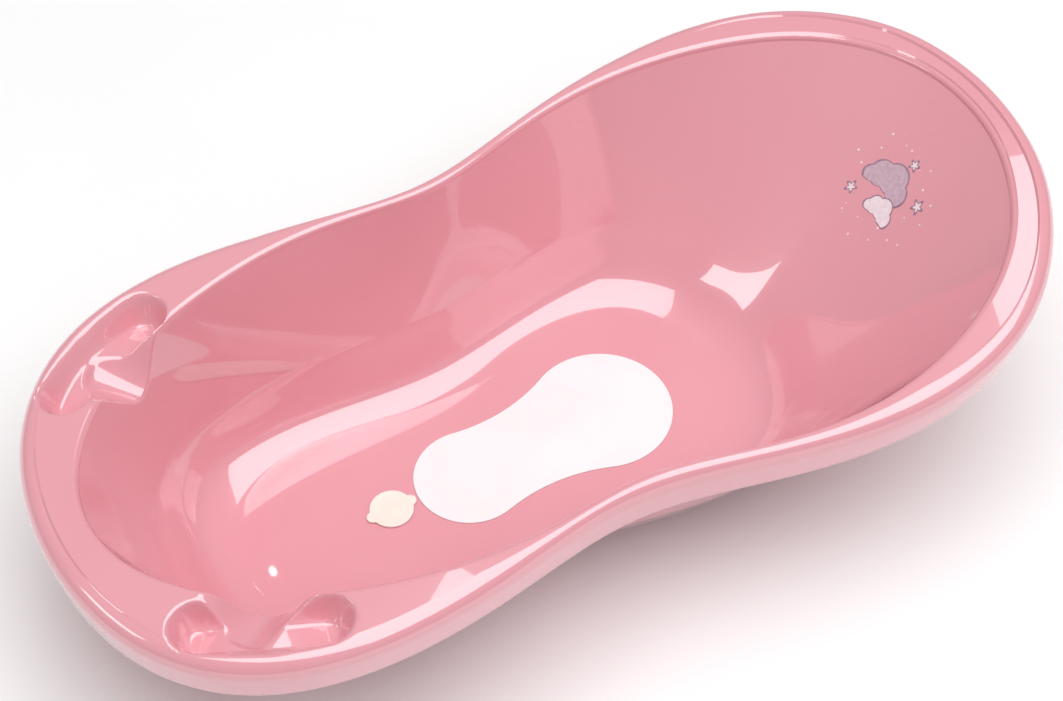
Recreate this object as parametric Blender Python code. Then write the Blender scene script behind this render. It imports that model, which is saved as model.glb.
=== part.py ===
"""Baby bathtub in a Blender script: one moulded shell with its standing ring, the anti-slip
mat on its floor, the drain plug, and the printed film on the backrest.

Metres. +X runs to the raised head end, +Y across, +Z up, and the tub stands on Z = 0.
"""

import math

import bmesh
import bpy
import numpy as np

# ---------------------------------------------------------------- sizes, in metres

LENGTH = 1.000              # over the rim
WIDTH = 0.530               # of the outline that the reach tables below are drawn in
WALL = 0.003                # moulded wall of the shell
STAND_HEIGHT = 0.017        # standing ring, ground to underside of the floor
TOUCH_GAP = 0.0003          # between pieces that rest on each other

RIM_HEIGHT = 0.206          # ground to rim at the middle of the tub
END_RISE = 0.027            # how far the rim curves up towards both ends
HEAD_TILT = 0.035           # added at the head end, taken off at the foot end
RIM_DEPTH = 0.043           # crown of the rim to the hem of its skirt
SKIRT_LEAN = 0.003          # the hem stands in this far from the widest point
CROWN_RADIUS = 0.017        # outer round of the rim
EDGE_RADIUS = 0.006         # inner round, where the deck turns down into the tub
KNEE_HEIGHT = 0.055         # soft crease between bowl and wall, above the floor
KNEE_TURN = math.radians(15)        # the bowl arrives this much flatter than the wall starts
KNEE_FADE = 1.2             # over how much of the way round the knee fades at the head end
BOWL_FULLNESS = 0.5         # pull of the bowl's curve at both its ends
CROWN_SHARE = 0.62          # most of the rim's width that the crown may take, where it is narrow
EDGE_SHARE = 0.34           # and the inner round

# Outlines seen from above, as the reach of spokes 15 degrees apart from the head tip round to
# the foot tip, in a unit tub: 1 is half the length along X and half the width along Y.
RIM = (1.000, 1.020, 1.076, 1.147, 1.146, 0.970, 0.819, 0.862, 1.037, 1.113, 1.070, 1.019, 1.000)
MOUTH = (0.936, 0.950, 0.986, 1.024, 1.013, 0.894, 0.753, 0.790, 0.856, 0.890, 0.906, 0.910, 0.911)
KNEE = (0.560, 0.570, 0.605, 0.670, 0.720, 0.680, 0.602, 0.595, 0.682, 0.800, 0.825, 0.800, 0.785)
FLOOR = (0.335, 0.345, 0.380, 0.435, 0.465, 0.425, 0.365, 0.360, 0.410, 0.535, 0.630, 0.650, 0.650)

DISH_ANGLES = (127.6, 136.3, 145.0)  # rim spokes at the head lobe, middle and foot lobe, degrees
DISH_LIPS = (0.0121, 0.0115, 0.0060)  # rim left standing outside the dish at those spokes
DISH_RADIUS = 0.027         # half the width of the bean-shaped dish
DISH_DEPTH = 0.028          # below the deck, in the lobes
DISH_SADDLE = 0.008         # the floor is this much higher between the lobes
DISH_INNER_FLANK = 0.016    # plan width of the steep side towards the tub
DISH_OUTER_FLANK = 0.028    # and of the gentle side towards the rim
DISH_ROUND = 0.003          # softening of the edge round the dish
SPOUT_ANGLE = 143.5         # mouth spoke that the notch from dish to tub lies on, degrees
SPOUT_SKEW = math.radians(18)  # its run turns this far from the mouth's normal to the head
SPOUT_WIDTH = 0.109         # of the notch, at the top
SPOUT_DEPTH = 0.043         # of the notch, below the deck, at the mouth line
SPOUT_SLOPE = 0.42          # fall of its floor towards the tub
SPOUT_BLEND = 0.004         # rounding where the notch meets the dish
SPOUT_RUN = 2.2             # times the dish's radius: how far out the notch goes before it ends

MAT_LENGTH = 0.281          # anti-slip mat, an hourglass of two lobes
MAT_HEAD_RADIUS = 0.072
MAT_FOOT_RADIUS = 0.0555
MAT_SIDE_RADIUS = 0.178     # hollow sides between the lobes
MAT_THICKNESS = 0.0012
MAT_MIDDLE = -0.0045        # its place along X
MAT_YAW = math.radians(2.4)

PLUG_MIDDLE = -0.174        # the drain's place along X
PLUG_DISC = 0.043           # diameter of the plug's cap
PLUG_THICKNESS = 0.0026
PLUG_EDGE = PLUG_THICKNESS / 3      # bevel round the cap's top
PLUG_TAB_DROP = PLUG_THICKNESS / 4  # the tabs are this much lower than the cap
PLUG_TAB_RADIUS = 0.006     # two pull tabs on opposite sides of the cap
PLUG_TAB_REACH = 0.0205     # middle of the cap to the middle of a tab
PLUG_STEM_LENGTH = 0.011    # below the floor's top face
PLUG_STEM_WALL = 0.0025
PLUG_FIT = 0.0008           # stem to bore, all round
PLUG_TAPER = 0.0010         # the stem's lower end is this much thinner in radius
DRAIN_BORE = 0.030
DRAIN_NECK = 0.012          # outlet below the floor's top face
DRAIN_CHAMFER = 0.0012

STAND_INSET = 0.010         # outside of the standing ring, in from the edge of the flat floor
STAND_WALL = 0.004
RIB_WALL = 0.003
RIB_PLACES = (-0.105, -0.020, 0.065)
RIB_CLEARANCE = 0.003       # ribs stop short of the ground

FILM_RINGS = (0, 2)         # rows of the wall that the printed film lies along, at the head end
FILM_HALF_SPOKES = 2        # and how many spokes it covers either side of the middle
FILM_THICKNESS = 0.0004
FILM_GAP = 2 * TOUCH_GAP    # off the faceted wall

# ---------------------------------------------------------------- mesh density

PLAIN_SPOKES = 17           # from the head tip to the first dish
DISH_SPOKES = 27            # across one dish
TIP_SPOKES = 4              # from the dish to the foot tip
DISH_MARGIN = 9             # degrees either side of the lobes that share the dish's density
BOWL_STEPS = (0.3, 0.6, 0.8, 1.0)
WALL_STEPS = (0.3, 0.6, 0.75, 0.88, 1.0)
DECK_STEPS = (0.0, 0.1, 0.2, 0.3, 0.4, 0.5, 0.6, 0.7, 0.8, 0.9, 1.0)
EDGE_TURNS = (40, 70)       # degrees round the inner edge
CROWN_TURNS = (25, 50, 72, 90)      # and round the crown
FLOOR_RING = 0.5            # a ring of the flat floor, as a share of its outline
FLAT_RINGS = 2              # rings that lie in the flat floor
STAND_SIDES = 56
DISC_SIDES = 40
TAB_SIDES = 20
MAT_HEAD_SIDES = 14
MAT_SIDE_SIDES = 8
MAT_FOOT_SIDES = 12
SMOOTH_ANGLE = math.radians(35)
TURN_STEP = 0.002           # radians either side, for reading an outline's direction
TAU = 2 * math.pi

PINK = (0.83, 0.30, 0.38, 1.0)
WHITE = (0.93, 0.92, 0.90, 1.0)
CREAM = (0.91, 0.86, 0.74, 1.0)
MAUVE = (0.62, 0.45, 0.55, 1.0)


# ---------------------------------------------------------------- outlines and heights

def reach(outline, angle):
    """Reach of an outline at any angle: the cosine series through its thirteen spokes."""
    count = len(outline)
    order = np.arange(count)
    spokes = np.linspace(0, math.pi, count)
    series = np.linalg.solve(np.cos(np.outer(spokes, order)), np.array(outline))
    return np.cos(np.outer(angle, order)) @ series


def plan(outline, angle):
    """Points of an outline in plan, one row (x, y) for each angle in radians."""
    angle = np.atleast_1d(angle)
    far = reach(outline, angle)
    return np.column_stack([far * np.cos(angle) * LENGTH / 2, far * np.sin(angle) * WIDTH / 2])


def outward(outline, angle):
    """Unit normals of an outline in plan."""
    angle = np.atleast_1d(angle)
    along = plan(outline, angle + TURN_STEP) - plan(outline, angle - TURN_STEP)
    along /= np.linalg.norm(along, axis=1)[:, None]
    return np.column_stack([along[:, 1], -along[:, 0]])


def rim_height(x):
    share = x / (LENGTH / 2)
    return RIM_HEIGHT + END_RISE * share ** 2 + HEAD_TILT * share ** 3


def smooth_step(value):
    value = np.clip(value, 0, 1)
    return value * value * (3 - 2 * value)


def smooth_max(one, other, blend):
    """The larger of two depths, eased over where they are within a blend of each other."""
    near = np.clip(1 - np.abs(one - other) / blend, 0, 1)
    return np.maximum(one, other) + near ** 2 * blend / 4


def floor_top():
    return STAND_HEIGHT + WALL


# ---------------------------------------------------------------- soap dishes

def dish_spine(count=9):
    """Middle line of the dish on the +Y side: it follows the rim, a lip and a radius inside."""
    angle = np.linspace(DISH_ANGLES[0], DISH_ANGLES[2], count)
    lip = np.polyval(np.polyfit(DISH_ANGLES, DISH_LIPS, 2), angle)
    angle = np.radians(angle)
    return plan(RIM, angle) - outward(RIM, angle) * (lip + DISH_RADIUS)[:, None]


def spine_distance(points):
    """Distance of points to the spine of the dish, where along it (0 to 1) they lie, and how
    far they lie to its outer side."""
    spine = dish_spine()
    best = np.full(len(points), np.inf)
    place = np.zeros(len(points))
    side = np.zeros(len(points))
    spans = len(spine) - 1
    for index in range(spans):
        start = spine[index]
        run = spine[index + 1] - start
        share = np.clip((points - start) @ run / (run @ run), 0, 1)
        offset = points - start - share[:, None] * run
        distance = np.linalg.norm(offset, axis=1)
        out = np.array([run[1], -run[0]]) / np.linalg.norm(run)
        nearer = distance < best
        best = np.where(nearer, distance, best)
        place = np.where(nearer, (index + share) / spans, place)
        side = np.where(nearer, offset @ out, side)
    return best, place, side


def spout_frame():
    """Middle of the notch on the mouth line, and its direction from there into the dish."""
    angle = math.radians(SPOUT_ANGLE)
    x, y = outward(MOUTH, angle)[0]
    turned = np.array([x * math.cos(SPOUT_SKEW) - y * math.sin(SPOUT_SKEW),
                       x * math.sin(SPOUT_SKEW) + y * math.cos(SPOUT_SKEW)])
    return plan(MOUTH, angle)[0], turned


def dip(x, y):
    """Depth of the dishes and their spouts below the deck; a little negative where there are
    none, so that the edge comes out rounded."""
    points = np.column_stack([x, np.abs(y)])
    distance, place, side = spine_distance(points)
    floor = DISH_DEPTH - DISH_SADDLE * 4 * place * (1 - place)
    outer = smooth_step(0.5 + 0.5 * side / DISH_RADIUS)
    width = DISH_INNER_FLANK + outer * (DISH_OUTER_FLANK - DISH_INNER_FLANK)
    flank = smooth_step((DISH_RADIUS + DISH_ROUND - distance) / width)
    bean = (floor + DISH_ROUND) * flank - DISH_ROUND

    middle, out = spout_frame()
    offset = points - middle
    across = np.abs(offset @ np.array([-out[1], out[0]])) / (SPOUT_WIDTH / 2)
    outside = offset @ out
    bed = SPOUT_DEPTH - SPOUT_SLOPE * outside
    notch = 0.5 + 0.5 * np.cos(math.pi * np.clip(across, 0, 1))
    fade = smooth_step((DISH_RADIUS * SPOUT_RUN - outside) / DISH_RADIUS)
    spout = (bed + DISH_ROUND) * notch * fade - DISH_ROUND
    return smooth_max(bean, spout, SPOUT_BLEND)


def sunk(ring):
    """A ring of the shell, lowered where a dish or its spout is deeper than the ring."""
    excess = dip(ring[:, 0], ring[:, 1]) - (rim_height(ring[:, 0]) - ring[:, 2])
    blend = (np.clip(excess, -DISH_ROUND, DISH_ROUND) + DISH_ROUND) ** 2 / (4 * DISH_ROUND)
    lowered = ring.copy()
    lowered[:, 2] -= np.where(excess > DISH_ROUND, excess, blend)
    return lowered


# ---------------------------------------------------------------- the shell as rings

def spoke_angles():
    """All the way round, closer together where the dishes are."""
    first = math.radians(DISH_ANGLES[0] - DISH_MARGIN)
    last = math.radians(DISH_ANGLES[2] + DISH_MARGIN)
    half = np.concatenate([
        np.linspace(0, first, PLAIN_SPOKES, endpoint=False),
        np.linspace(first, last, DISH_SPOKES, endpoint=False),
        np.linspace(last, math.pi, TIP_SPOKES, endpoint=False),
        [math.pi],
    ])
    return np.concatenate([half, TAU - half[-2:0:-1]])


def at_height(points, height):
    return np.column_stack([points, np.broadcast_to(height, len(points))])


def bowl_rings(angle):
    """From the edge of the flat floor up to the knee, level at the start and nearly as steep
    as the wall at the end; the knee fades away towards the head end."""
    foot = at_height(plan(FLOOR, angle), floor_top())
    knee = at_height(plan(KNEE, angle), floor_top() + KNEE_HEIGHT)
    top = at_height(plan(MOUTH, angle), 0)
    top[:, 2] = rim_height(top[:, 0]) - EDGE_RADIUS
    rise = top - knee
    run = np.linalg.norm(rise[:, :2], axis=1)
    slope = np.arctan2(rise[:, 2], run) - KNEE_TURN * smooth_step((1 - np.cos(angle)) / KNEE_FADE)
    leg = BOWL_FULLNESS * np.linalg.norm(knee - foot, axis=1)
    heading = rise[:, :2] / run[:, None]
    below = np.column_stack([heading * np.cos(slope)[:, None], np.sin(slope)])
    level = foot.copy()
    level[:, :2] += heading * leg[:, None]
    steep = knee - below * leg[:, None]
    rings = []
    for step in BOWL_STEPS:
        rest = 1 - step
        rings.append(rest ** 3 * foot + 3 * rest ** 2 * step * level
                     + 3 * rest * step ** 2 * steep + step ** 3 * knee)
    return rings, knee, top


def rim_rings(angle):
    """Inner edge, deck, crown and skirt."""
    mouth = plan(MOUTH, angle)
    rim = plan(RIM, angle)
    mouth_out = outward(MOUTH, angle)
    rim_out = outward(RIM, angle)
    band = np.sum((rim - mouth) * rim_out, axis=1)
    crown_run = np.minimum(CROWN_RADIUS, CROWN_SHARE * band)[:, None]
    edge_run = np.minimum(EDGE_RADIUS, EDGE_SHARE * band)[:, None]
    height = rim_height(mouth[:, 0])
    rings = []
    for turn in np.radians(EDGE_TURNS):
        ring = mouth + mouth_out * edge_run * (1 - math.cos(turn))
        rings.append(at_height(ring, height - EDGE_RADIUS * (1 - math.sin(turn))))
    start = mouth + mouth_out * edge_run
    end = rim - rim_out * crown_run
    for step in DECK_STEPS:
        ring = start + (end - start) * step
        rings.append(at_height(ring, rim_height(ring[:, 0])))
    for turn in np.radians(CROWN_TURNS):
        ring = rim - rim_out * crown_run * (1 - math.sin(turn))
        rings.append(at_height(ring, rim_height(rim[:, 0]) - CROWN_RADIUS * (1 - math.cos(turn))))
    hem = rim - rim_out * SKIRT_LEAN
    rings.append(at_height(hem, rim_height(rim[:, 0]) - RIM_DEPTH))
    return rings


def shell_rings():
    """The visible skin of the shell, ring by ring from the flat floor to the hem."""
    angle = spoke_angles()
    floor = plan(FLOOR, angle)
    rings = [at_height(floor * FLOOR_RING, floor_top()), at_height(floor, floor_top())]
    bowl, knee, top = bowl_rings(angle)
    rings += bowl
    for step in WALL_STEPS:
        rings.append(sunk(knee + (top - knee) * step))
    for ring in rim_rings(angle):
        rings.append(sunk(ring))
    return rings


# ---------------------------------------------------------------- Blender helpers

def clear_scene():
    for old in list(bpy.data.objects):
        bpy.data.objects.remove(old, do_unlink=True)


def material(name, colour, roughness):
    made = bpy.data.materials.new(name)
    made.use_nodes = True
    shader = made.node_tree.nodes["Principled BSDF"]
    shader.inputs["Base Color"].default_value = colour
    shader.inputs["Roughness"].default_value = roughness
    return made


def add_object(name, mesh, finish=None, parent=None):
    made = bpy.data.objects.new(name, mesh)
    bpy.context.scene.collection.objects.link(made)
    made.parent = parent
    if finish:
        mesh.materials.append(finish)
    return made


def mesh_from(shape, name):
    """Turn a bmesh into a mesh with outward normals, smooth up to SMOOTH_ANGLE."""
    bmesh.ops.recalc_face_normals(shape, faces=shape.faces)
    mesh = bpy.data.meshes.new(name)
    shape.to_mesh(mesh)
    shape.free()
    mesh.shade_smooth()
    mesh.set_sharp_from_angle(angle=SMOOTH_ANGLE)
    return mesh


def add_ring(shape, points):
    return [shape.verts.new(point) for point in points]


def join_rings(shape, lower, upper):
    count = len(lower)
    for index in range(count):
        following = (index + 1) % count
        shape.faces.new((lower[index], lower[following], upper[following], upper[index]))


def fill_ring(shape, ring, centre):
    middle = shape.verts.new(centre)
    for index, vertex in enumerate(ring):
        shape.faces.new((vertex, ring[(index + 1) % len(ring)], middle))


def circle(radius, height, sides=DISC_SIDES, x=0.0):
    return [(x + radius * math.cos(TAU * side / sides), radius * math.sin(TAU * side / sides), height)
            for side in range(sides)]


def prism(name, outline, low, high):
    """A flat plate from an outline in plan."""
    shape = bmesh.new()
    rings = [add_ring(shape, [(x, y, height) for x, y in outline]) for height in (low, high)]
    join_rings(shape, rings[0], rings[1])
    for ring in rings:
        shape.faces.new(ring)
    return mesh_from(shape, name)


def stack(name, circles):
    """A turned solid from circles listed bottom to top up its outside, then down any bore."""
    shape = bmesh.new()
    rings = [add_ring(shape, points) for points in circles]
    for lower, upper in zip(rings, rings[1:]):
        join_rings(shape, lower, upper)
    for ring in (rings[0], rings[-1]):
        shape.faces.new(ring)
    return mesh_from(shape, name)


def boolean(target, tool, operation):
    tool.hide_render = True
    tool.display_type = "WIRE"
    cut = target.modifiers.new(operation.title() + " " + tool.name, "BOOLEAN")
    cut.operation = operation
    cut.object = tool
    cut.solver = "EXACT"


# ---------------------------------------------------------------- the sub-parts

def inset_outline(outline, inset, count=STAND_SIDES):
    angle = np.linspace(0, TAU, count, endpoint=False)
    return plan(outline, angle) - outward(outline, angle) * inset


def add_stand(shell):
    """Standing ring and cross ribs under the floor, moulded with the shell."""
    into_floor = STAND_HEIGHT + WALL / 2
    outer = inset_outline(FLOOR, STAND_INSET)
    inner = inset_outline(FLOOR, STAND_INSET + STAND_WALL)
    shape = bmesh.new()
    rings = [add_ring(shape, [(x, y, height) for x, y in outline])
             for outline, height in ((outer, 0), (outer, into_floor), (inner, into_floor), (inner, 0))]
    for index, ring in enumerate(rings):
        join_rings(shape, ring, rings[(index + 1) % len(rings)])
    boolean(shell, add_object("stand_ring", mesh_from(shape, "stand_ring")), "UNION")

    for number, place in enumerate(RIB_PLACES):
        reach_out = np.interp(place, *sorted_half(inset_outline(FLOOR, STAND_INSET + STAND_WALL / 2)))
        outline = [(place + dx * RIB_WALL / 2, dy * reach_out)
                   for dx, dy in ((-1, -1), (1, -1), (1, 1), (-1, 1))]
        rib = prism("rib", outline, RIB_CLEARANCE, into_floor)
        boolean(shell, add_object("stand_rib_%d" % number, rib), "UNION")


def sorted_half(outline):
    """The +Y half of an outline as two rows, x rising and its half width, to read widths from."""
    half = outline[outline[:, 1] >= 0]
    half = half[np.argsort(half[:, 0])]
    return half[:, 0], half[:, 1]


def add_drain(shell):
    """Drain neck under the floor, and the bore through both with a chamfered seat."""
    low = floor_top() - DRAIN_NECK
    neck = stack("neck", [circle(DRAIN_BORE / 2 + WALL, low, x=PLUG_MIDDLE),
                          circle(DRAIN_BORE / 2 + WALL, floor_top() - WALL / 2, x=PLUG_MIDDLE)])
    boolean(shell, add_object("drain_neck", neck), "UNION")
    bore = stack("bore", [circle(DRAIN_BORE / 2, low - WALL, x=PLUG_MIDDLE),
                          circle(DRAIN_BORE / 2, floor_top() - DRAIN_CHAMFER, x=PLUG_MIDDLE),
                          circle(DRAIN_BORE / 2 + 2 * DRAIN_CHAMFER, floor_top() + DRAIN_CHAMFER,
                                 x=PLUG_MIDDLE)])
    boolean(shell, add_object("drain_bore", bore), "DIFFERENCE")


def make_shell():
    """The skin of rings, thickened away from the visible side."""
    shape = bmesh.new()
    rings = [add_ring(shape, ring) for ring in shell_rings()]
    fill_ring(shape, rings[0], (0, 0, floor_top()))
    for lower, upper in zip(rings, rings[1:]):
        join_rings(shape, upper, lower)
    mesh = mesh_from(shape, "tub_shell")
    if mesh.polygons[0].normal.z < 0:
        mesh.flip_normals()
    shell = add_object("tub_shell", mesh, material("pink_polypropylene", PINK, 0.18))
    solid = shell.modifiers.new("Wall", "SOLIDIFY")
    solid.thickness = WALL
    solid.offset = -1
    solid.use_even_offset = True
    add_stand(shell)
    add_drain(shell)
    return shell


def mat_outline():
    """Two round lobes joined by hollow sides that run smoothly into both."""
    head = MAT_LENGTH / 2 - MAT_HEAD_RADIUS
    foot = -(MAT_LENGTH / 2 - MAT_FOOT_RADIUS)
    to_head = MAT_HEAD_RADIUS + MAT_SIDE_RADIUS
    to_foot = MAT_FOOT_RADIUS + MAT_SIDE_RADIUS
    apart = head - foot
    from_foot = (apart ** 2 + to_foot ** 2 - to_head ** 2) / (2 * apart)
    side_x = foot + from_foot
    side_y = math.sqrt(to_foot ** 2 - from_foot ** 2)
    head_turn = math.atan2(side_y, side_x - head)
    foot_turn = math.atan2(side_y, side_x - foot)

    def arc(x, y, radius, start, end, count):
        return [(x + radius * math.cos(turn), y + radius * math.sin(turn))
                for turn in np.linspace(start, end, count)]

    half = arc(head, 0, MAT_HEAD_RADIUS, 0, head_turn, MAT_HEAD_SIDES)
    half += arc(side_x, side_y, MAT_SIDE_RADIUS, head_turn - math.pi, foot_turn - math.pi,
                MAT_SIDE_SIDES)[1:-1]
    half += arc(foot, 0, MAT_FOOT_RADIUS, foot_turn, math.pi, MAT_FOOT_SIDES)
    return half + [(x, -y) for x, y in half[-2:0:-1]]


def make_mat():
    mesh = prism("anti_slip_mat", mat_outline(), 0, MAT_THICKNESS)
    mat = add_object("anti_slip_mat", mesh, material("white_rubber", WHITE, 0.5))
    mat.location = (MAT_MIDDLE, 0, floor_top() + TOUCH_GAP)
    mat.rotation_euler.z = MAT_YAW
    return mat


def make_plug():
    """Cap with two pull tabs over a hollow tapered stem; its origin is on the drain's axis."""
    pull = bpy.data.objects.new("drain_axis", None)
    bpy.context.scene.collection.objects.link(pull)
    pull.location = (PLUG_MIDDLE, 0, floor_top())
    top = TOUCH_GAP + PLUG_THICKNESS
    stem = DRAIN_BORE / 2 - PLUG_FIT
    hollow = stem - PLUG_STEM_WALL
    low = -PLUG_STEM_LENGTH
    body = stack("drain_plug", [
        circle(hollow - PLUG_TAPER, TOUCH_GAP),
        circle(hollow - PLUG_TAPER, low),
        circle(stem - PLUG_TAPER, low),
        circle(stem, TOUCH_GAP),
        circle(PLUG_DISC / 2, TOUCH_GAP),
        circle(PLUG_DISC / 2, top - PLUG_EDGE),
        circle(PLUG_DISC / 2 - PLUG_EDGE, top),
    ])
    plug = add_object("drain_plug", body, material("cream_rubber", CREAM, 0.4), pull)
    for side in (-1, 1):
        middle = side * PLUG_TAB_REACH
        tab = stack("tab", [circle(PLUG_TAB_RADIUS, TOUCH_GAP, TAB_SIDES, middle),
                            circle(PLUG_TAB_RADIUS, top - PLUG_TAB_DROP, TAB_SIDES, middle)])
        ear = add_object("plug_tab_%s" % ("head" if side > 0 else "foot"), tab, parent=pull)
        boolean(plug, ear, "UNION")
    return plug


def make_film(rings):
    """Printed film on the backrest: it follows the rows and spokes of the shell, a gap off it."""
    knee_row = FLAT_RINGS + len(BOWL_STEPS)
    first = knee_row + FILM_RINGS[0]
    last = knee_row + FILM_RINGS[1]
    spokes = list(range(-FILM_HALF_SPOKES, FILM_HALF_SPOKES + 1))
    grid = np.array([[rings[row][spoke] for spoke in spokes] for row in range(first, last + 1)])
    across = np.gradient(grid, axis=1)
    upward = np.gradient(grid, axis=0)
    normal = np.cross(across, upward)
    normal /= np.linalg.norm(normal, axis=2)[:, :, None]
    normal *= np.where(normal[:, :, 2:] < 0, -1, 1)
    shape = bmesh.new()
    layers = []
    for lift in (FILM_GAP, FILM_GAP + FILM_THICKNESS):
        layers.append([[shape.verts.new(point) for point in row] for row in grid + normal * lift])
    rows, columns = len(layers[0]), len(spokes)
    for layer in layers:
        for row in range(rows - 1):
            for column in range(columns - 1):
                shape.faces.new((layer[row][column], layer[row][column + 1],
                                 layer[row + 1][column + 1], layer[row + 1][column]))
    border = [(0, column) for column in range(columns)]
    border += [(row, columns - 1) for row in range(1, rows)]
    border += [(rows - 1, column) for column in range(columns - 2, -1, -1)]
    border += [(row, 0) for row in range(rows - 2, 0, -1)]
    for index, (row, column) in enumerate(border):
        next_row, next_column = border[(index + 1) % len(border)]
        shape.faces.new((layers[0][row][column], layers[0][next_row][next_column],
                         layers[1][next_row][next_column], layers[1][row][column]))
    mesh = mesh_from(shape, "printed_film")
    return add_object("printed_film", mesh, material("mauve_print", MAUVE, 0.35))


def main():
    clear_scene()
    make_shell()
    make_mat()
    make_plug()
    make_film(shell_rings())


main()
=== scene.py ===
"""Looks of the baby bathtub: smooth glossy shell, anti-slip mat, drain plug and backrest print.

Metres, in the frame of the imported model: +X to the head end, +Y across, +Z up.
"""

import math

import bmesh
import bpy
import numpy as np
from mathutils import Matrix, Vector


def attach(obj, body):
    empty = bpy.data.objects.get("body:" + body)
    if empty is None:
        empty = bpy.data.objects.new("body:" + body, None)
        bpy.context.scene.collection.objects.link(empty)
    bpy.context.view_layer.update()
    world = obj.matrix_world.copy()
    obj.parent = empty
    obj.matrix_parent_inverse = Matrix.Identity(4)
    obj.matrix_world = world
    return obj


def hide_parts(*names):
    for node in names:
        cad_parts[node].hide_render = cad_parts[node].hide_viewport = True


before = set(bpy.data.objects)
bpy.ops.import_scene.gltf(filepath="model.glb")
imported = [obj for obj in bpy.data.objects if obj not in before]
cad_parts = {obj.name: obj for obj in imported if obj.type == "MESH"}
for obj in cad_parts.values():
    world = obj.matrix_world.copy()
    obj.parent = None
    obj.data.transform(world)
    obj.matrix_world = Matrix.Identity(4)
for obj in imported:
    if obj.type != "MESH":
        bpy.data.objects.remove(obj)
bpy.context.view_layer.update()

# ---------------------------------------------------------------- sizes shared with the part

LENGTH = 1.000
WIDTH = 0.530
WALL = 0.003
STAND_HEIGHT = 0.017
TOUCH_GAP = 0.0003
RIM_HEIGHT = 0.206
END_RISE = 0.027
HEAD_TILT = 0.035
RIM_DEPTH = 0.043
SKIRT_LEAN = 0.003
CROWN_RADIUS = 0.017
EDGE_RADIUS = 0.006
KNEE_HEIGHT = 0.055
KNEE_TURN = math.radians(15)
FLOOR_TOP = STAND_HEIGHT + WALL
CROWN_SHARE = 0.62          # most of the rim's band that the outer round may take
EDGE_SHARE = 0.34           # the same for the inner edge
KNEE_FADE = 1.2             # how soon the knee's extra turn fades in from the head end
BOWL_FULLNESS = 0.5         # length of the bowl curve's handles, as a share of its chord

# Reach of spokes 15 degrees apart, head tip to foot tip, in a unit tub.
RIM = (1.000, 1.020, 1.076, 1.147, 1.146, 0.970, 0.819, 0.862, 1.037, 1.113, 1.070, 1.019, 1.000)
MOUTH = (0.936, 0.950, 0.986, 1.024, 1.013, 0.894, 0.753, 0.790, 0.856, 0.890, 0.906, 0.910, 0.911)
KNEE = (0.560, 0.570, 0.605, 0.670, 0.720, 0.680, 0.602, 0.595, 0.682, 0.800, 0.825, 0.800, 0.785)
FLOOR = (0.335, 0.345, 0.380, 0.435, 0.465, 0.425, 0.365, 0.360, 0.410, 0.535, 0.630, 0.650, 0.650)

DISH_ANGLES = (127.6, 136.3, 145.0)
DISH_LIPS = (0.0121, 0.0115, 0.0060)
DISH_RADIUS = 0.027
DISH_DEPTH = 0.028
DISH_SADDLE = 0.008
DISH_INNER_FLANK = 0.016
DISH_OUTER_FLANK = 0.028
DISH_ROUND = 0.003
SPOUT_ANGLE = 143.5
SPOUT_SKEW = math.radians(18)
SPOUT_WIDTH = 0.109
SPOUT_DEPTH = 0.043
SPOUT_SLOPE = 0.42
SPOUT_BLEND = 0.004
SPOUT_RUN = 2.2             # where a spout ends, in dish radii behind the mouth's edge

MAT_LENGTH = 0.281
MAT_HEAD_RADIUS = 0.072
MAT_FOOT_RADIUS = 0.0555
MAT_SIDE_RADIUS = 0.178
MAT_THICKNESS = 0.0012
MAT_MIDDLE = -0.0045
MAT_YAW = math.radians(2.4)

PLUG_MIDDLE = -0.174
PLUG_DISC = 0.043
PLUG_THICKNESS = 0.0026
PLUG_TAB_RADIUS = 0.006
PLUG_TAB_REACH = 0.0205
PLUG_STEM_LENGTH = 0.011
PLUG_STEM_WALL = 0.0025
PLUG_FIT = 0.0008
PLUG_TAPER = 0.0010
PLUG_TAB_BLEND = 0.004
PLUG_CAP_HOLLOW = ((0.86, 0.0), (0.82, 0.10), (0.78, 0.16), (0.3, 0.18))  # radius and drop, as shares
DRAIN_BORE = 0.030
DRAIN_NECK = 0.012
DRAIN_CHAMFER = 0.0012

STAND_INSET = 0.010
STAND_WALL = 0.004
RIB_WALL = 0.003
RIB_PLACES = (-0.105, -0.020, 0.065)
RIB_CLEARANCE = 0.003

# ---------------------------------------------------------------- mesh density

PLAIN_SPOKES = 96
DISH_SPOKES = 190
TIP_SPOKES = 30
DISH_MARGIN = 9
BOWL_ROWS = 14
WALL_ROWS = 40
DECK_ROWS = 64
ROUND_ROWS = 8
BORE_SIDES = 96
SPINE_POINTS = 25
WALL_CROWDING = 1.4         # over 1 crowds the wall's rows towards the top
SKIRT_ROWS = 3
HEM_TURNS = 6
MAT_HEAD_SIDES = 70
MAT_SIDE_SIDES = 40
MAT_FOOT_SIDES = 60
SLAB_ROUND_ROWS = 4
CAP_SIDES = 240
CAP_ROUND_ROWS = 5
TURN_STEP = 0.002           # radians, for slopes taken along an outline
SHARP_ANGLE = 35            # degrees, between faces that don't shade as one
PLUG_SHARP_ANGLE = 40
TAU = 2 * math.pi

# ---------------------------------------------------------------- print on the backrest

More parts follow.
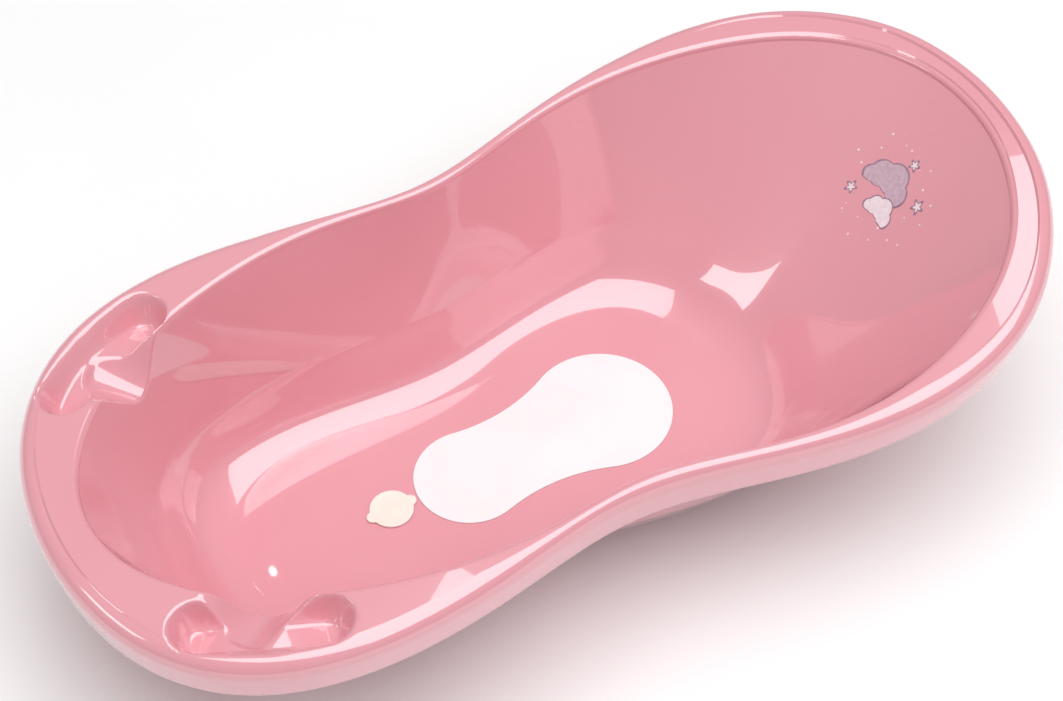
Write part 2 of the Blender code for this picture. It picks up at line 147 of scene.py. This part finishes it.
PRINT_ROW = 0.56            # middle of the print, as a share of the way from knee to mouth
PRINT_LIFT = 0.00012        # ink above the plastic
PRINT_DEPTH = 0.00030
CLOUD_BUMPS = ((-0.55, -0.10, 0.40), (-0.12, 0.18, 0.52), (0.38, 0.06, 0.44), (0.70, -0.16, 0.28))
CLOUD_BASE = 0.40
CLOUDS = (                  # ink, width, place across and up, layer
    ("mauve", 0.066, (0.000, 0.008), 0),
    ("lilac", 0.061, (0.000, 0.008), 1),
    ("mauve", 0.046, (-0.016, -0.018), 2),
    ("pale", 0.042, (-0.016, -0.018), 3),
)
STARS = ((-0.046, 0.016, 0.0085), (0.030, -0.020, 0.0080), (-0.010, 0.038, 0.0070))
STAR_INNER = 0.6
DOT_COUNT = 34
DOT_FIELD = (0.062, 0.058)
DOT_MIDDLE = -0.006
DOT_SIZES = (0.0007, 0.0014)
BACKREST_SPREAD = 0.86      # radius of the backrest at the print, as a share of the mouth's
PATCH_STEPS = (1.0, 0.75, 0.5, 0.25)

# ---------------------------------------------------------------- colours, light and camera

PINK = ((0.775, 0.318, 0.372, 1), (0.790, 0.333, 0.387, 1))
MAT_WHITE = ((0.83, 0.805, 0.815, 1), (0.86, 0.835, 0.845, 1))
PLUG_CREAM = ((0.82, 0.76, 0.68, 1), (0.85, 0.79, 0.71, 1))
INKS = {
    "mauve": ((0.30, 0.17, 0.24, 1), (0.38, 0.23, 0.30, 1)),
    "lilac": ((0.52, 0.36, 0.44, 1), (0.60, 0.43, 0.50, 1)),
    "pale": ((0.80, 0.66, 0.72, 1), (0.86, 0.74, 0.78, 1)),
}
FLOOR_GREY = ((0.90, 0.90, 0.90, 1), (0.92, 0.92, 0.92, 1))
FLOOR_HALF = 40.0
HORIZON_STRENGTH = 0.30
SKY_STRENGTH = 0.41
SKY_BAND = (-0.15, 0.55)    # heights of the view direction between which the sky brightens

CAMERA_PLACE = (-0.65186, -1.08814, 1.68760)
CAMERA_TURN = -0.527442     # radians about Z
CAMERA_ELEVATION = 0.879387
CAMERA_LENS = 71.586        # on a 36 mm wide sensor


# ---------------------------------------------------------------- outlines and heights

def reach(outline, angle):
    count = len(outline)
    order = np.arange(count)
    spokes = np.linspace(0, math.pi, count)
    series = np.linalg.solve(np.cos(np.outer(spokes, order)), np.array(outline))
    return np.cos(np.outer(angle, order)) @ series


def plan(outline, angle):
    angle = np.atleast_1d(angle)
    far = reach(outline, angle)
    return np.column_stack([far * np.cos(angle) * LENGTH / 2, far * np.sin(angle) * WIDTH / 2])


def outward(outline, angle):
    angle = np.atleast_1d(angle)
    along = plan(outline, angle + TURN_STEP) - plan(outline, angle - TURN_STEP)
    along /= np.linalg.norm(along, axis=1)[:, None]
    return np.column_stack([along[:, 1], -along[:, 0]])


def rim_height(x):
    share = x / (LENGTH / 2)
    return RIM_HEIGHT + END_RISE * share ** 2 + HEAD_TILT * share ** 3


def smooth_step(value):
    value = np.clip(value, 0, 1)
    return value * value * (3 - 2 * value)


def smooth_max(one, other, blend):
    near = np.clip(1 - np.abs(one - other) / blend, 0, 1)
    return np.maximum(one, other) + near ** 2 * blend / 4


def at_height(points, height):
    return np.column_stack([points, np.broadcast_to(height, len(points))])


# ---------------------------------------------------------------- soap dishes

def dish_spine():
    angle = np.linspace(DISH_ANGLES[0], DISH_ANGLES[2], SPINE_POINTS)
    lip = np.polyval(np.polyfit(DISH_ANGLES, DISH_LIPS, 2), angle)
    angle = np.radians(angle)
    return plan(RIM, angle) - outward(RIM, angle) * (lip + DISH_RADIUS)[:, None]


SPINE = dish_spine()


def spine_distance(points):
    """Distance to the dish's spine, share of the way along it, and distance to its outer side."""
    best = np.full(len(points), np.inf)
    place = np.zeros(len(points))
    side = np.zeros(len(points))
    spans = len(SPINE) - 1
    for index in range(spans):
        start = SPINE[index]
        run = SPINE[index + 1] - start
        share = np.clip((points - start) @ run / (run @ run), 0, 1)
        offset = points - start - share[:, None] * run
        distance = np.linalg.norm(offset, axis=1)
        out = np.array([run[1], -run[0]]) / np.linalg.norm(run)
        nearer = distance < best
        best = np.where(nearer, distance, best)
        place = np.where(nearer, (index + share) / spans, place)
        side = np.where(nearer, offset @ out, side)
    return best, place, side


def spout_frame():
    angle = math.radians(SPOUT_ANGLE)
    x, y = outward(MOUTH, angle)[0]
    turned = np.array([x * math.cos(SPOUT_SKEW) - y * math.sin(SPOUT_SKEW),
                       x * math.sin(SPOUT_SKEW) + y * math.cos(SPOUT_SKEW)])
    return plan(MOUTH, angle)[0], turned


def dip(x, y):
    """Depth of the dishes and their spouts below the deck."""
    points = np.column_stack([x, np.abs(y)])
    distance, place, side = spine_distance(points)
    floor = DISH_DEPTH - DISH_SADDLE * 4 * place * (1 - place)
    outer = smooth_step(0.5 + 0.5 * side / DISH_RADIUS)
    width = DISH_INNER_FLANK + outer * (DISH_OUTER_FLANK - DISH_INNER_FLANK)
    flank = smooth_step((DISH_RADIUS + DISH_ROUND - distance) / width)
    bean = (floor + DISH_ROUND) * flank - DISH_ROUND

    middle, out = spout_frame()
    offset = points - middle
    across = np.abs(offset @ np.array([-out[1], out[0]])) / (SPOUT_WIDTH / 2)
    outside = offset @ out
    bed = SPOUT_DEPTH - SPOUT_SLOPE * outside
    notch = 0.5 + 0.5 * np.cos(math.pi * np.clip(across, 0, 1))
    fade = smooth_step((DISH_RADIUS * SPOUT_RUN - outside) / DISH_RADIUS)
    spout = (bed + DISH_ROUND) * notch * fade - DISH_ROUND
    return smooth_max(bean, spout, SPOUT_BLEND)


def sunk(ring):
    """A ring of the shell, lowered where a dish or its spout is deeper than the ring."""
    excess = dip(ring[:, 0], ring[:, 1]) - (rim_height(ring[:, 0]) - ring[:, 2])
    blend = (np.clip(excess, -DISH_ROUND, DISH_ROUND) + DISH_ROUND) ** 2 / (4 * DISH_ROUND)
    lowered = ring.copy()
    lowered[:, 2] -= np.where(excess > DISH_ROUND, excess, blend)
    return lowered


# ---------------------------------------------------------------- the shell as rings

def spoke_angles():
    first = math.radians(DISH_ANGLES[0] - DISH_MARGIN)
    last = math.radians(DISH_ANGLES[2] + DISH_MARGIN)
    half = np.concatenate([
        np.linspace(0, first, PLAIN_SPOKES, endpoint=False),
        np.linspace(first, last, DISH_SPOKES, endpoint=False),
        np.linspace(last, math.pi, TIP_SPOKES, endpoint=False),
        [math.pi],
    ])
    return np.concatenate([half, TAU - half[-2:0:-1]])


def wall_ends(angle):
    """Lower and upper end of the straight wall at each spoke."""
    knee = at_height(plan(KNEE, angle), FLOOR_TOP + KNEE_HEIGHT)
    top = at_height(plan(MOUTH, angle), 0)
    top[:, 2] = rim_height(top[:, 0]) - EDGE_RADIUS
    return knee, top


def bowl_rings(angle):
    foot = at_height(plan(FLOOR, angle), FLOOR_TOP)
    knee, top = wall_ends(angle)
    rise = top - knee
    run = np.linalg.norm(rise[:, :2], axis=1)
    slope = np.arctan2(rise[:, 2], run) - KNEE_TURN * smooth_step((1 - np.cos(angle)) / KNEE_FADE)
    leg = BOWL_FULLNESS * np.linalg.norm(knee - foot, axis=1)
    heading = rise[:, :2] / run[:, None]
    below = np.column_stack([heading * np.cos(slope)[:, None], np.sin(slope)])
    level = foot.copy()
    level[:, :2] += heading * leg[:, None]
    steep = knee - below * leg[:, None]
    rings = []
    for step in np.linspace(0, 1, BOWL_ROWS + 1)[1:]:
        rest = 1 - step
        rings.append(rest ** 3 * foot + 3 * rest ** 2 * step * level
                     + 3 * rest * step ** 2 * steep + step ** 3 * knee)
    return rings


def rim_rings(angle):
    mouth = plan(MOUTH, angle)
    rim = plan(RIM, angle)
    mouth_out = outward(MOUTH, angle)
    rim_out = outward(RIM, angle)
    band = np.sum((rim - mouth) * rim_out, axis=1)
    crown_run = np.minimum(CROWN_RADIUS, CROWN_SHARE * band)[:, None]
    edge_run = np.minimum(EDGE_RADIUS, EDGE_SHARE * band)[:, None]
    height = rim_height(mouth[:, 0])
    rings = []
    for turn in np.linspace(0, math.pi / 2, ROUND_ROWS + 1)[1:-1]:
        ring = mouth + mouth_out * edge_run * (1 - math.cos(turn))
        rings.append(at_height(ring, height - EDGE_RADIUS * (1 - math.sin(turn))))
    start = mouth + mouth_out * edge_run
    end = rim - rim_out * crown_run
    for step in np.linspace(0, 1, DECK_ROWS + 1):
        ring = start + (end - start) * step
        rings.append(at_height(ring, rim_height(ring[:, 0])))
    for turn in np.linspace(0, math.pi / 2, 2 * ROUND_ROWS + 1)[1:]:
        ring = rim - rim_out * crown_run * (1 - math.sin(turn))
        rings.append(at_height(ring, rim_height(rim[:, 0]) - CROWN_RADIUS * (1 - math.cos(turn))))
    hem = rim - rim_out * SKIRT_LEAN
    skirt_top = rings[-1]
    low = at_height(hem, rim_height(rim[:, 0]) - RIM_DEPTH)
    for step in np.linspace(0, 1, SKIRT_ROWS + 1)[1:]:
        rings.append(skirt_top + (low - skirt_top) * step)
    return rings


def skin():
    """Visible skin of the shell as a grid, rings from the flat floor's edge out to the hem."""
    angle = spoke_angles()
    rings = [at_height(plan(FLOOR, angle), FLOOR_TOP)] + bowl_rings(angle)
    knee, top = wall_ends(angle)
    for step in 1 - (1 - np.linspace(0, 1, WALL_ROWS + 1)[1:]) ** WALL_CROWDING:
        rings.append(sunk(knee + (top - knee) * step))
    rings += [sunk(ring) for ring in rim_rings(angle)]
    return np.array(rings)


def grid_normals(grid):
    """Unit normals of a ring grid, pointing up on the flat floor's side."""
    around = np.roll(grid, -1, axis=1) - np.roll(grid, 1, axis=1)
    normal = np.cross(around, np.gradient(grid, axis=0))
    normal /= np.linalg.norm(normal, axis=2)[:, :, None]
    return normal * (1 if normal[0, 0, 2] > 0 else -1)


# ---------------------------------------------------------------- Blender helpers

def add_ring(shape, points):
    return [shape.verts.new(point) for point in points]


def join_rings(shape, lower, upper):
    count = len(lower)
    for index in range(count):
        following = (index + 1) % count
        shape.faces.new((lower[index], lower[following], upper[following], upper[index]))


def fill_between(shape, *loops):
    """Flat face inside the first loop, with the other loops as its holes."""
    edges = []
    for loop in loops:
        for index, vertex in enumerate(loop):
            following = loop[(index + 1) % len(loop)]
            pair = (vertex, following)
            edges.append(shape.edges.get(pair) or shape.edges.new(pair))
    bmesh.ops.triangle_fill(shape, use_beauty=True, edges=edges)


def circle(radius, height, sides, x=0.0):
    turns = [TAU * side / sides for side in range(sides)]
    return [(x + radius * math.cos(turn), radius * math.sin(turn), height) for turn in turns]


def finish_object(shape, name, finish, sharp=SHARP_ANGLE):
    bmesh.ops.recalc_face_normals(shape, faces=shape.faces)
    mesh = bpy.data.meshes.new(name)
    shape.to_mesh(mesh)
    shape.free()
    mesh.shade_smooth()
    mesh.set_sharp_from_angle(angle=math.radians(sharp))
    mesh.materials.append(finish)
    made = bpy.data.objects.new(name, mesh)
    bpy.context.scene.collection.objects.link(made)
    return made


# ---------------------------------------------------------------- materials

def new_material(name, **settings):
    made = bpy.data.materials.new(name)
    made.use_nodes = True
    shader = made.node_tree.nodes["Principled BSDF"]
    for socket, value in settings.items():
        shader.inputs[socket.replace("_", " ")].default_value = value
    return made, made.node_tree, shader


def noise(tree, scale, detail=3.0, roughness=0.5):
    place = tree.nodes.new("ShaderNodeTexCoord")
    texture = tree.nodes.new("ShaderNodeTexNoise")
    texture.inputs["Scale"].default_value = scale
    texture.inputs["Detail"].default_value = detail
    texture.inputs["Roughness"].default_value = roughness
    tree.links.new(place.outputs["Object"], texture.inputs["Vector"])
    return texture.outputs["Fac"]


def ramp(tree, source, low, high, low_value, high_value):
    """Maps a texture's range low..high to values, eased at both ends."""
    made = tree.nodes.new("ShaderNodeMapRange")
    made.interpolation_type = "SMOOTHSTEP"
    for socket, value in zip(("From Min", "From Max", "To Min", "To Max"),
                             (low, high, low_value, high_value)):
        made.inputs[socket].default_value = value
    tree.links.new(source, made.inputs["Value"])
    return made.outputs["Result"]


def colour_mix(tree, factor, one, other):
    mix = tree.nodes.new("ShaderNodeMix")
    mix.data_type = "RGBA"
    mix.inputs["A"].default_value = one
    mix.inputs["B"].default_value = other
    tree.links.new(factor, mix.inputs["Factor"])
    return mix.outputs["Result"]


def bump(tree, shader, height, strength, distance):
    made = tree.nodes.new("ShaderNodeBump")
    made.inputs["Strength"].default_value = strength
    made.inputs["Distance"].default_value = distance
    tree.links.new(height, made.inputs["Height"])
    tree.links.new(made.outputs["Normal"], shader.inputs["Normal"])


def pink_plastic():
    """Gloss polypropylene: faint cloudiness in the pigment, soft flow ripple, light scuffing."""
    made, tree, shader = new_material("pink_plastic_gloss", IOR=1.49, Coat_Weight=1.0,
                                      Coat_Roughness=0.015, Coat_IOR=1.9)
    tone = ramp(tree, noise(tree, 5.0, 2.0), 0.35, 0.65, 0.0, 1.0)
    tree.links.new(colour_mix(tree, tone, *PINK), shader.inputs["Base Color"])
    tree.links.new(ramp(tree, noise(tree, 38.0, 5.0, 0.6), 0.35, 0.75, 0.13, 0.19),
                   shader.inputs["Roughness"])
    bump(tree, shader, noise(tree, 9.0, 2.0), 0.25, 0.0006)
    return made


def mat_rubber():
    """White soft rubber with a fine leathery grain."""
    made, tree, shader = new_material("mat_white_rubber", IOR=1.5)
    tone = ramp(tree, noise(tree, 14.0, 3.0), 0.3, 0.7, 0.0, 1.0)
    tree.links.new(colour_mix(tree, tone, *MAT_WHITE), shader.inputs["Base Color"])
    tree.links.new(ramp(tree, noise(tree, 60.0, 4.0), 0.3, 0.7, 0.48, 0.62),
                   shader.inputs["Roughness"])
    bump(tree, shader, noise(tree, 900.0, 2.0), 0.35, 0.0002)
    return made


def plug_rubber():
    """Cream soft rubber, smoother than the mat."""
    made, tree, shader = new_material("plug_cream_rubber", IOR=1.5)
    tone = ramp(tree, noise(tree, 40.0, 3.0), 0.3, 0.7, 0.0, 1.0)
    tree.links.new(colour_mix(tree, tone, *PLUG_CREAM), shader.inputs["Base Color"])
    tree.links.new(ramp(tree, noise(tree, 120.0, 4.0), 0.3, 0.7, 0.34, 0.46),
                   shader.inputs["Roughness"])
    bump(tree, shader, noise(tree, 600.0, 2.0), 0.2, 0.0001)
    return made


def print_ink(name, one, other):
    """Printed film ink with a fine mottle."""
    made, tree, shader = new_material(name, IOR=1.49)
    tone = ramp(tree, noise(tree, 260.0, 3.0), 0.35, 0.65, 0.0, 1.0)
    tree.links.new(colour_mix(tree, tone, one, other), shader.inputs["Base Color"])
    tree.links.new(ramp(tree, noise(tree, 180.0, 3.0), 0.3, 0.7, 0.26, 0.36),
                   shader.inputs["Roughness"])
    return made


# ---------------------------------------------------------------- pieces

def inset_outline(outline, inset, count=240):
    angle = np.linspace(0, TAU, count, endpoint=False)
    return plan(outline, angle) - outward(outline, angle) * inset


def add_loft(shape, rings):
    """Closed ring of rings, such as a wall with both faces and both edges."""
    made = [add_ring(shape, ring) for ring in rings]
    for index, ring in enumerate(made):
        join_rings(shape, ring, made[(index + 1) % len(made)])


def add_stand(shape):
    """Standing ring with a softened foot, and the cross ribs inside it."""
    into_floor = STAND_HEIGHT + WALL / 3
    soft = STAND_WALL / 5
    rings = []
    for inset, height in ((0, into_floor), (0, soft), (soft, 0), (STAND_WALL - soft, 0),
                          (STAND_WALL, soft), (STAND_WALL, into_floor)):
        outline = inset_outline(FLOOR, STAND_INSET + inset)
        rings.append(at_height(outline, height))
    add_loft(shape, rings)
    inner = inset_outline(FLOOR, STAND_INSET + STAND_WALL / 2)
    inner = inner[inner[:, 1] >= 0]
    inner = inner[np.argsort(inner[:, 0])]
    for place in RIB_PLACES:
        far = np.interp(place, inner[:, 0], inner[:, 1])
        rings = [[(place + x * RIB_WALL / 2, y * far, height)
                  for x, y in ((-1, -1), (1, -1), (1, 1), (-1, 1))]
                 for height in (RIB_CLEARANCE, into_floor)]
        made = [add_ring(shape, ring) for ring in rings]
        join_rings(shape, made[0], made[1])
        for ring in made:
            shape.faces.new(ring)


def make_shell():
    """Skin, rolled hem, underside, drain neck and bore as one closed body, with its stand."""
    grid = skin()
    normal = grid_normals(grid)
    under = grid - normal * WALL
    under[0, :, 2] = STAND_HEIGHT
    shape = bmesh.new()
    top = [add_ring(shape, ring) for ring in grid]
    for lower, upper in zip(top, top[1:]):
        join_rings(shape, upper, lower)
    outer, inner = grid[-1], under[-1]
    middle, half = (outer + inner) / 2, (outer - inner) / 2
    hem = [top[-1]]
    for turn in np.linspace(0, math.pi, HEM_TURNS + 1)[1:-1]:
        round_ring = middle + half * math.cos(turn)
        round_ring[:, 2] -= WALL / 2 * math.sin(turn)
        hem.append(add_ring(shape, round_ring))
    bottom = [add_ring(shape, ring) for ring in under]
    hem.append(bottom[-1])
    for lower, upper in zip(hem, hem[1:]):
        join_rings(shape, upper, lower)
    for lower, upper in zip(bottom, bottom[1:]):
        join_rings(shape, lower, upper)
    low = FLOOR_TOP - DRAIN_NECK
    hole = DRAIN_BORE / 2
    neck = hole + WALL
    soft = WALL / 6
    bore = [(hole + DRAIN_CHAMFER, FLOOR_TOP), (hole, FLOOR_TOP - DRAIN_CHAMFER),
            (hole, low + soft), (hole + soft, low),
            (neck - soft, low), (neck, low + soft), (neck, STAND_HEIGHT)]
    rings = [add_ring(shape, circle(radius, height, BORE_SIDES, PLUG_MIDDLE))
             for radius, height in bore]
    for lower, upper in zip(rings, rings[1:]):
        join_rings(shape, lower, upper)
    fill_between(shape, top[0], rings[0])
    fill_between(shape, bottom[0], rings[-1])
    add_stand(shape)
    shell = finish_object(shape, "tub_moulding", pink_plastic())
    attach(shell, "tub")
    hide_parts("tub_shell")


def mat_outline():
    head = MAT_LENGTH / 2 - MAT_HEAD_RADIUS
    foot = -(MAT_LENGTH / 2 - MAT_FOOT_RADIUS)
    to_head = MAT_HEAD_RADIUS + MAT_SIDE_RADIUS
    to_foot = MAT_FOOT_RADIUS + MAT_SIDE_RADIUS
    apart = head - foot
    from_foot = (apart ** 2 + to_foot ** 2 - to_head ** 2) / (2 * apart)
    side_x = foot + from_foot
    side_y = math.sqrt(to_foot ** 2 - from_foot ** 2)
    head_turn = math.atan2(side_y, side_x - head)
    foot_turn = math.atan2(side_y, side_x - foot)

    def arc(x, y, radius, start, end, count):
        return [(x + radius * math.cos(turn), y + radius * math.sin(turn))
                for turn in np.linspace(start, end, count)]

    half = arc(head, 0, MAT_HEAD_RADIUS, 0, head_turn, MAT_HEAD_SIDES)
    half += arc(side_x, side_y, MAT_SIDE_RADIUS, head_turn - math.pi, foot_turn - math.pi,
                MAT_SIDE_SIDES)[1:-1]
    half += arc(foot, 0, MAT_FOOT_RADIUS, foot_turn, math.pi, MAT_FOOT_SIDES)
    return np.array(half + [(x, -y) for x, y in half[-2:0:-1]])


def outline_normals(outline):
    along = np.roll(outline, -1, axis=0) - np.roll(outline, 1, axis=0)
    along /= np.linalg.norm(along, axis=1)[:, None]
    return np.column_stack([along[:, 1], -along[:, 0]])


def add_slab(shape, outline, base, thick, soft):
    """Closed plate with a softened upper edge."""
    out = outline_normals(outline)
    rings = [add_ring(shape, at_height(outline, base))]
    for turn in np.linspace(0, math.pi / 2, SLAB_ROUND_ROWS + 1):
        ring = outline - out * soft * (1 - math.cos(turn))
        rings.append(add_ring(shape, at_height(ring, base + thick - soft * (1 - math.sin(turn)))))
    for lower, upper in zip(rings, rings[1:]):
        join_rings(shape, lower, upper)
    fill_between(shape, rings[0])
    fill_between(shape, rings[-1])


def make_mat():
    shape = bmesh.new()
    add_slab(shape, mat_outline(), 0, MAT_THICKNESS, MAT_THICKNESS * 0.45)
    mat = finish_object(shape, "bath_mat", mat_rubber())
    mat.location = (MAT_MIDDLE, 0, FLOOR_TOP + TOUCH_GAP)
    mat.rotation_euler.z = MAT_YAW
    bpy.context.view_layer.update()
    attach(mat, "tub")
    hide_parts("anti_slip_mat")


def cap_outline(shrink):
    """Plug cap: a disc with a pull tab on both sides, blended where they meet."""
    angle = np.linspace(0, TAU, CAP_SIDES, endpoint=False)
    disc = PLUG_DISC / 2 - shrink
    tab = PLUG_TAB_RADIUS - shrink
    across = PLUG_TAB_REACH * np.sin(angle)
    inside = np.clip(tab ** 2 - across ** 2, 0, None)
    to_tab = np.where(inside > 0, PLUG_TAB_REACH * np.abs(np.cos(angle)) + np.sqrt(inside), 0)
    far = smooth_max(np.full(CAP_SIDES, disc), to_tab, PLUG_TAB_BLEND)
    far = np.minimum(far, PLUG_TAB_REACH + tab)
    return np.column_stack([far * np.cos(angle), far * np.sin(angle)])


def make_plug():
    """Cap with a softened edge and a shallow dish on top, over a hollow tapered stem."""
    shape = bmesh.new()
    top = TOUCH_GAP + PLUG_THICKNESS
    soft = PLUG_THICKNESS / 3
    stem = DRAIN_BORE / 2 - PLUG_FIT
    hollow = stem - PLUG_STEM_WALL - PLUG_TAPER
    rings = [circle(hollow, TOUCH_GAP, CAP_SIDES),
             circle(hollow, -PLUG_STEM_LENGTH, CAP_SIDES),
             circle(stem - PLUG_TAPER, -PLUG_STEM_LENGTH, CAP_SIDES),
             circle(stem, TOUCH_GAP, CAP_SIDES),
             at_height(cap_outline(soft / 2), TOUCH_GAP)]
    for turn in np.linspace(0, math.pi / 2, CAP_ROUND_ROWS + 1):
        rings.append(at_height(cap_outline(soft * (1 - math.cos(turn))),
                               top - soft * (1 - math.sin(turn))))
    for radius, drop in PLUG_CAP_HOLLOW:
        rings.append(circle(PLUG_DISC / 2 * radius, top - drop * PLUG_THICKNESS, CAP_SIDES))
    made = [add_ring(shape, ring) for ring in rings]
    for lower, upper in zip(made, made[1:]):
        join_rings(shape, lower, upper)
    shape.faces.new(made[0])
    shape.faces.new(made[-1])
    plug = finish_object(shape, "plug_cap_and_stem", plug_rubber(), PLUG_SHARP_ANGLE)
    plug.location = (PLUG_MIDDLE, 0, FLOOR_TOP)
    bpy.context.view_layer.update()
    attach(plug, "plug")
    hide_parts("drain_plug")


# ---------------------------------------------------------------- print

def on_backrest(points, lift):
    """Puts points (across, up), in metres from the middle of the print, onto the backrest."""
    points = np.asarray(points)
    angle = points[:, 0] / (float(reach(MOUTH, [0.0])[0]) * WIDTH / 2 * BACKREST_SPREAD)
    knee, top = wall_ends(angle)
    rise = top - knee
    share = PRINT_ROW + points[:, 1] / np.linalg.norm(rise, axis=1)
    place = knee + rise * share[:, None]
    knee_on, top_on = wall_ends(angle + TURN_STEP)
    beside = knee_on + (top_on - knee_on) * share[:, None]
    normal = np.cross(beside - place, rise)
    normal /= np.linalg.norm(normal, axis=1)[:, None]
    normal *= np.where(normal[:, 2:] < 0, -1, 1)
    return place + normal * lift


def add_patch(shape, outline, centre, lift):
    """A thin patch of ink with that outline, following the backrest."""
    outline = np.asarray(outline)
    layers = []
    for height in (lift - PRINT_DEPTH, lift):
        rings = [add_ring(shape, on_backrest(outline * step + centre, height))
                 for step in PATCH_STEPS]
        middle = shape.verts.new(on_backrest([centre], height)[0])
        for lower, upper in zip(rings, rings[1:]):
            join_rings(shape, lower, upper)
        for index, vertex in enumerate(rings[-1]):
            shape.faces.new((vertex, rings[-1][(index + 1) % len(rings[-1])], middle))
        layers.append(rings[0])
    join_rings(shape, layers[0], layers[1])


def polar(radius, count=64):
    angle = np.linspace(0, TAU, count, endpoint=False)
    far = radius(angle)
    return np.column_stack([far * np.cos(angle), far * np.sin(angle)])


def star(size, points=5, depth=0.28):
    return polar(lambda angle: size * (1 - depth + depth * np.cos(points * (angle - math.pi / 2))))


def disc(size):
    return polar(lambda angle: np.full(len(angle), size), 20)


def cloud(width, count=160):
    """Puffy cloud: round bumps on a flat base."""
    angle = np.linspace(0, TAU, count, endpoint=False)
    far = np.zeros(count)
    for x, y, radius in CLOUD_BUMPS:
        along = x * np.cos(angle) + y * np.sin(angle)
        inside = radius ** 2 - (x ** 2 + y ** 2 - along ** 2)
        far = np.maximum(far, np.where(inside > 0, along + np.sqrt(np.abs(inside)), 0))
    below = np.sin(angle) < -0.01
    far[below] = np.minimum(far[below], CLOUD_BASE / -np.sin(angle[below]))
    return np.column_stack([far * np.cos(angle), far * np.sin(angle)]) * width / 2


def make_print():
    """Two clouds with stars and dots round them, in two mauve inks and a pale one."""
    art = {"mauve": [], "lilac": [], "pale": []}
    for ink, width, place, layer in CLOUDS:
        art[ink].append((cloud(width), place, layer))
    for x, y, size in STARS:
        art["mauve"].append((star(size), (x, y), 0))
        art["pale"].append((star(size * STAR_INNER), (x, y), 1))
    spots = np.random.default_rng(7)
    for index in range(DOT_COUNT):
        turn = TAU * index / DOT_COUNT + spots.uniform(-0.1, 0.1)
        far = spots.uniform(0.60, 1.0)
        place = (DOT_FIELD[0] * far * math.cos(turn) + DOT_MIDDLE, DOT_FIELD[1] * far * math.sin(turn))
        dot = disc(spots.uniform(*DOT_SIZES))
        art["pale" if index % 3 else "lilac"].append((dot, place, 0))
    for ink, patches in art.items():
        shape = bmesh.new()
        for outline, centre, layer in patches:
            add_patch(shape, outline, np.array(centre), PRINT_LIFT * (1 + layer))
        piece = finish_object(shape, "print_" + ink, print_ink("print_" + ink, *INKS[ink]))
        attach(piece, "tub")
    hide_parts("printed_film")


# ---------------------------------------------------------------- stage

def add_floor():
    shape = bmesh.new()
    corners = [(x * FLOOR_HALF, y * FLOOR_HALF, 0) for x, y in ((-1, -1), (1, -1), (1, 1), (-1, 1))]
    shape.faces.new(add_ring(shape, corners))
    made, tree, shader = new_material("pale_floor", Roughness=0.9)
    tone = ramp(tree, noise(tree, 1.5), 0.3, 0.7, 0.0, 1.0)
    tree.links.new(colour_mix(tree, tone, *FLOOR_GREY), shader.inputs["Base Color"])
    finish_object(shape, "studio_floor", made)


def add_softbox(name, place, target, width, height, power):
    light = bpy.data.lights.new(name, "AREA")
    light.shape = "RECTANGLE"
    light.size = width
    light.size_y = height
    light.energy = power
    made = bpy.data.objects.new(name, light)
    bpy.context.scene.collection.objects.link(made)
    made.location = place
    made.rotation_euler = (Vector(target) - Vector(place)).to_track_quat("-Z", "Y").to_euler()
    return made


def add_ceiling_softbox(name, middle, height, width, length, turn, power):
    """Large softbox facing straight down; its width lies at that turn from +X."""
    made = add_softbox(name, (*middle, height), (*middle, 0), width, length, power)
    made.rotation_euler = (0, 0, turn)


def add_lamp(name, place, radius, power):
    """Small bare lamp, which shows as a speck in the gloss."""
    light = bpy.data.lights.new(name, "POINT")
    light.shadow_soft_size = radius
    light.energy = power
    made = bpy.data.objects.new(name, light)
    bpy.context.scene.collection.objects.link(made)
    made.location = place


def add_world():
    """White sky, dimmer at the horizon than overhead."""
    world = bpy.data.worlds.new("studio")
    bpy.context.scene.world = world
    world.use_nodes = True
    tree = world.node_tree
    place = tree.nodes.new("ShaderNodeTexCoord")
    split = tree.nodes.new("ShaderNodeSeparateXYZ")
    tree.links.new(place.outputs["Generated"], split.inputs["Vector"])
    strength = ramp(tree, split.outputs["Z"], *SKY_BAND, HORIZON_STRENGTH, SKY_STRENGTH)
    tree.links.new(strength, tree.nodes["Background"].inputs["Strength"])
    tree.nodes["Background"].inputs["Color"].default_value = (1.0, 1.0, 1.0, 1)


def add_camera():
    camera = bpy.data.cameras.new("camera")
    camera.lens = CAMERA_LENS
    camera.sensor_width = 36
    camera.sensor_fit = "HORIZONTAL"
    made = bpy.data.objects.new("camera", camera)
    bpy.context.scene.collection.objects.link(made)
    made.location = CAMERA_PLACE
    made.rotation_euler = (math.pi / 2 - CAMERA_ELEVATION, 0, CAMERA_TURN)
    bpy.context.scene.camera = made


add_camera()
make_shell()
make_mat()
make_plug()
make_print()
add_floor()
add_world()
add_ceiling_softbox("overhead_softbox", (0.72, -1.53), 5.1, 5.15, 7.0, math.radians(28), 300)
add_softbox("foot_softbox", (-2.10, 0.57, 1.55), (0.26, 0.05, 0.07), 0.80, 0.34, 3.0)
add_lamp("lamp_right", (-1.05, 1.95, 0.70), 0.020, 1.0)
add_lamp("lamp_left", (0.22, 1.40, 2.16), 0.006, 0.010)
bpy.context.scene.view_settings.view_transform = "Standard"
